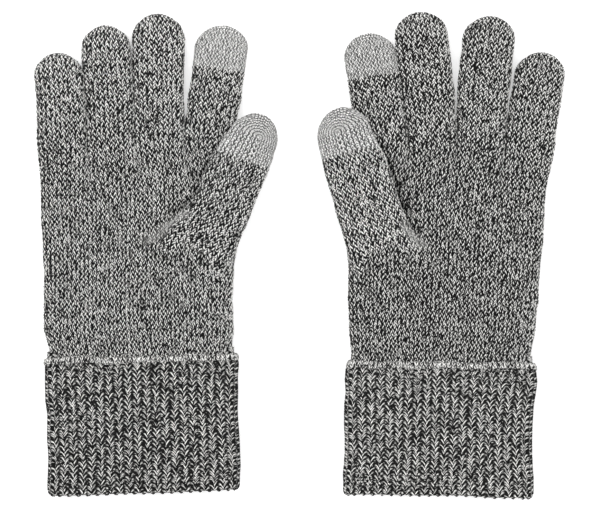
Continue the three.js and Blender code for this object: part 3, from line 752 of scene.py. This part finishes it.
def cuff_point(g, s, u, z, slope):
    """A point of the cuff; its corners are rounded, the lower two more than those at the hem."""
    c = g.g["cuff"]
    sides = np.array(c["sides"])
    u = u + np.interp(s, sides[:, 0], sides[:, 1]) * smooth(-u / c["half"]) + np.interp(s, sides[:, 0], sides[:, 2]) * smooth(u / c["half"])
    out = np.maximum(np.abs(u) - (c["half"] - 4.5), 0) / 4.5
    out = 1 - np.sqrt(np.maximum(1 - np.minimum(out, 1) ** 2, 0))
    s = s - 3.2 * out * smooth((s - c["length"] + 14) / 14.0) + 1.2 * out * (1 - smooth(s / 10.0))
    ax = c["axis"]
    nx, ny = -ax[1], ax[0]
    x = c["top"][0] + ax[0] * s + nx * u - ax[0] * slope * u
    y = c["top"][1] + ax[1] * s + ny * u - ax[1] * slope * u
    return x, y, z


def rib_relief(XX, QQ, seed, depth, amp):
    a = np.abs(2 * (XX - np.floor(XX)) - 1)
    crest = depth * (1 - smooth((a - 0.40) / 0.42)) * (1 - 0.18 * np.exp(-(a / 0.16) ** 2))
    return crest + legs(XX, QQ, amp, seed, deep=0.2, wild=0.3)


def build_cuff(g):
    """Outer layer from the hem to the fold, round the fold and a little way up inside the mouth."""
    c = g.g["cuff"]
    cols = 2 * RIBS * RIB_CW
    u0, z0, nu, nz = rib_loop(c["half"] - 0.9, 0.9, CUFF_T - 0.9, cols)
    X = np.arange(cols) / RIB_CW
    length = c["length"]
    q1 = (length + 0.4) / RIB_COURSE
    fold = 4.2
    q = np.concatenate([rows_between(0.9, q1, RIB_CR), rows_between(q1, q1 + fold, RIB_CR)[1:]])
    XX, QQ = np.meshgrid(X, q)
    a = np.abs(2 * (XX - np.floor(XX)) - 1)
    fade = smooth((q1 + fold - QQ) / 2.0) * smooth((QQ - 0.9) / 1.5)
    cc = QQ + RIB_SLOPE * (0.5 - np.minimum(a / RIB_V, 1)) * fade    # V: the legs meet low in the middle of a rib
    s = np.minimum(cc, q1) * RIB_COURSE
    # the fold: half a turn of radius 1.6, then up inside
    w = np.clip((cc - q1) / (fold - 0.6), 0, 1)
    ang = w * math.pi
    rad = 1.75
    s = s + rad * np.sin(ang) * 1.0
    inset = rad * (1 - np.cos(ang)) - 0.0
    slope = lerp(c["slope"], c["bottom"], np.clip(s / length, 0, 1))
    wob = 0.55 * noise(XX * 0.23, np.floor(s / 40.0), g.seed + 31) * smooth((s - 40) / 30.0)
    wave = 0.5 * noise(XX / 3.1, s / 17.0, g.seed + 33) + 0.35 * noise(XX / 7.3, s / 31.0, g.seed + 34)
    off = -inset + np.where(nz[None, :] < -0.5, 0.15, 1.0) * wave * 0.7
    # the pressed layers belly out a little between top and fold
    belly = 0.5 * np.sin(np.clip(s / length, 0, 1) * math.pi)
    U = u0[None, :] + nu[None, :] * (off + belly)
    Z = z0[None, :] + nz[None, :] * (off + np.where(nz[None, :] > 0, belly, 0))
    x, y, z = cuff_point(g, s + wob, U, Z, slope)
    P = np.stack([x, y, z], axis=2)
    N = normals(P)
    h = rib_relief(XX, QQ, g.seed + 40, 1.1, 0.62) * (0.2 + 0.8 * smooth((q1 + fold - QQ) / 1.6))
    h = h * (1 - 0.35 * smooth((QQ - q1 + 2.5) / 2.5))
    P = P + N * h[..., None]
    P[..., 2] = np.maximum(P[..., 2], 0.02)
    return tube_object(f"{g.name}_knit_turned_cuff", P, XX, QQ, material=RIB[g.name], flip=True)


def build_wrist(g):
    """Inner layer of the cuff: ribbed outside and inside."""
    c = g.g["cuff"]
    cw = 4
    cols = 2 * RIBS * cw
    X = np.arange(cols) / cw
    end = (c["length"] - 3.4) / RIB_COURSE
    q = rows_between(-1.5, end, 2)
    XX, QQ = np.meshgrid(X, q)
    a = np.abs(2 * (XX - np.floor(XX)) - 1)
    fade = smooth((end - QQ) / 2.0)
    s = (QQ + RIB_SLOPE * (0.5 - np.minimum(a / RIB_V, 1)) * fade) * RIB_COURSE
    slope = lerp(c["slope"], c["bottom"], np.clip(s / c["length"], 0, 1))

    def layer(inset, outward):
        half = c["half"] - 1.8 - 0.9 - inset
        u0, z0, nu, nz = rib_loop(half, RIB_Z[0] + 0.5 + inset, RIB_Z[1] - 0.5 - inset, cols)
        x, y, z = cuff_point(g, s, np.broadcast_to(u0, s.shape), np.broadcast_to(z0, s.shape), slope)
        P = np.stack([x, y, z], axis=2)
        N = np.zeros_like(P)
        ax = c["axis"]
        N[..., 0], N[..., 1], N[..., 2] = nu * -ax[1], nu * ax[0], nz
        h = rib_relief(XX, QQ, g.seed + (50 if outward else 60), 0.5, 0.35)
        return P + N * (h if outward else -h)[..., None]

    outer, inner = layer(0.3, True), layer(1.7, False)
    P = np.concatenate([outer, inner[::-1]], axis=0)
    XX2 = np.concatenate([XX, XX], axis=0)
    QQ2 = np.concatenate([QQ, QQ[::-1] + 60], axis=0)
    # close the loop of rows back to the first
    P = np.concatenate([P, P[:1]], axis=0)
    XX2 = np.concatenate([XX2, XX2[:1]], axis=0)
    QQ2 = np.concatenate([QQ2, QQ2[:1]], axis=0)
    ob = tube_object(f"{g.name}_knit_wrist_rib", P, XX2, QQ2, material=RIB[g.name], flip=True)
    return ob


def build_hem(g):
    """Bound-off edge: a chain of small loops rolled over the top of the turned cuff."""
    c = g.g["cuff"]
    cols = 2 * RIBS * RIB_CW
    u0, z0, nu, nz = rib_loop(c["half"] - 0.9, 0.9, CUFF_T - 0.9, cols)
    X = np.arange(cols) / RIB_CW
    around = 16
    ang = np.linspace(0, 2 * math.pi, around + 1)
    XX, AA = np.meshgrid(X, ang)
    lane = noise(XX / 2.3, XX * 0 + 3.0, g.seed + 70)
    bead = np.abs(np.sin(math.pi * (XX * 2.0 + 0.5 * AA / math.pi)))
    rad = 1.0 + 0.14 * bead + 0.22 * noise(XX * 2.1, AA, g.seed + 71) + 0.16 * noise(XX * 0.6, AA * 0.3, g.seed + 72)
    s = 1.9 + 0.5 * lane - rad * 1.6 * np.cos(AA)
    off = -0.25 + rad * 0.8 * np.sin(AA)
    U, Z = u0[None, :] + nu[None, :] * off, z0[None, :] + nz[None, :] * off
    Z = np.maximum(Z, 0.02)
    x, y, z = cuff_point(g, s, U, Z, c["slope"])
    P = np.stack([x, y, z], axis=2)
    return tube_object(f"{g.name}_knit_hem", P, XX * 2.0, AA * (6.0 / (2 * math.pi)) + 0.8 * np.abs(2 * (2 * XX - np.floor(2 * XX)) - 1), material=HEM, flip=True)


for side in ("right", "left"):
    g = Glove(side, GLOVES[side])
    hand = f"{side}_glove"
    ob = build_hand(g)
    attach(ob, hand)
    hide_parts(f"{side}_hand")
    for k, f in enumerate(g.f):
        n, L = f["name"], f["length"]
        index = n == "index"
        c0, k0 = f["crease"], f["knuckle"]
        z1 = c0 + (6.5 if index else 5.8)
        split = math.ceil((z1 + 0.5) / COURSE) * COURSE
        low = build_finger(g, k, 0.0, split, f"{side}_knit_{n}_lower")
        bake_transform(low)
        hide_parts(f"{side}_{n}_proximal")
        if index:
            cap = L - 21.0
            capq = math.floor(cap / COURSE) * COURSE
            high = build_finger(g, k, split, capq, f"{side}_knit_{n}_upper")
            tip = build_cap(g, k, capq - 0.6, L, f"{side}_knit_{n}_touch_tip")
            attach(tip, f"{side}_{n}_high")
            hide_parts(f"{side}_{n}_touch_tip")
            reach = min(capq - 1.5 - k0, k0 - split)
        else:
            high = build_finger(g, k, split, L, f"{side}_knit_{n}_upper", closed=True)
            reach = 7.5
        reach = min(reach, k0 - split - 0.2)
        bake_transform(high)
        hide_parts(f"{side}_{n}_distal")
    t = g.t
    split = 22.1
    low = build_thumb(g, -16 * COURSE, split, f"{side}_knit_thumb_lower")
    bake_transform(low)
    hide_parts(f"{side}_thumb_base")
    capq = math.floor(t["cap"] / COURSE) * COURSE
    high = build_thumb(g, split, capq, f"{side}_knit_thumb_upper", tilt_end=t["cap_tilt"])
    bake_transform(high)
    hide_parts(f"{side}_thumb_end")
    tip = build_cap(g, "thumb", capq - 0.6, t["tip"], f"{side}_knit_thumb_touch_tip", tilt=t["cap_tilt"],
                    lean=0.22 if side == "right" else -0.22)
    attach(tip, f"{side}_thumb_high")
    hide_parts(f"{side}_thumb_touch_tip")
    wrist = build_wrist(g)
    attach(wrist, hand)
    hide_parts(f"{side}_wrist_rib")
    cuff = build_cuff(g)
    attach(cuff, f"{side}_cuff")
    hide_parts(f"{side}_turned_cuff")
    hem = build_hem(g)
    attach(hem, f"{side}_cuff")
    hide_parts(f"{side}_cuff_hem")

# ---------------------------------------------------------------- floor, light, camera
floor_mat = Nodes("pale_floor")
floor_mat.bsdf.inputs["Base Color"].default_value = (0.96, 0.96, 0.96, 1)
floor_mat.bsdf.inputs["Roughness"].default_value = 0.9
floor_mat.bsdf.inputs["Emission Color"].default_value = (1, 1, 1, 1)
floor_mat.bsdf.inputs["Emission Strength"].default_value = 0.4
me = bpy.data.meshes.new("floor")
me.from_pydata([(-4, -4, 0), (4, -4, 0), (4, 4, 0), (-4, 4, 0)], [], [(0, 1, 2, 3)])
me.materials.append(floor_mat.mat)
floor = bpy.data.objects.new("floor", me)
bpy.context.scene.collection.objects.link(floor)
floor.location.z = -0.0002

world = bpy.data.worlds.new("studio") if bpy.context.scene.world is None else bpy.context.scene.world
bpy.context.scene.world = world
world.use_nodes = True
bg = next(n for n in world.node_tree.nodes if n.type == "BACKGROUND")
bg.inputs[0].default_value = (1, 1, 1, 1)
bg.inputs[1].default_value = 0.92


def area(name, loc, size, power):
    li = bpy.data.lights.new(name, "AREA")
    li.shape = "SQUARE"
    li.size = size
    li.energy = power
    ob = bpy.data.objects.new(name, li)
    ob.location = loc
    d = -np.array(loc) / np.linalg.norm(loc)
    ob.rotation_euler = mathutils.Vector(d).to_track_quat("-Z", "Y").to_euler()
    bpy.context.scene.collection.objects.link(ob)
    return ob


area("key", (-0.7, 0.7, 1.5), 1.1, 7)
area("fill", (0.9, -0.4, 1.6), 1.3, 3)

cam = bpy.data.cameras.new("camera")
cam.sensor_width = 36.0
cam.lens = 36.0 * 1.5 / 0.315
cam.clip_end = 20
co = bpy.data.objects.new("camera", cam)
co.location = (0.00095, -0.00041, 1.508)
co.rotation_euler = (0, 0, 0)
bpy.context.scene.collection.objects.link(co)
bpy.context.scene.camera = co
bpy.context.scene.view_settings.view_transform = "Standard"
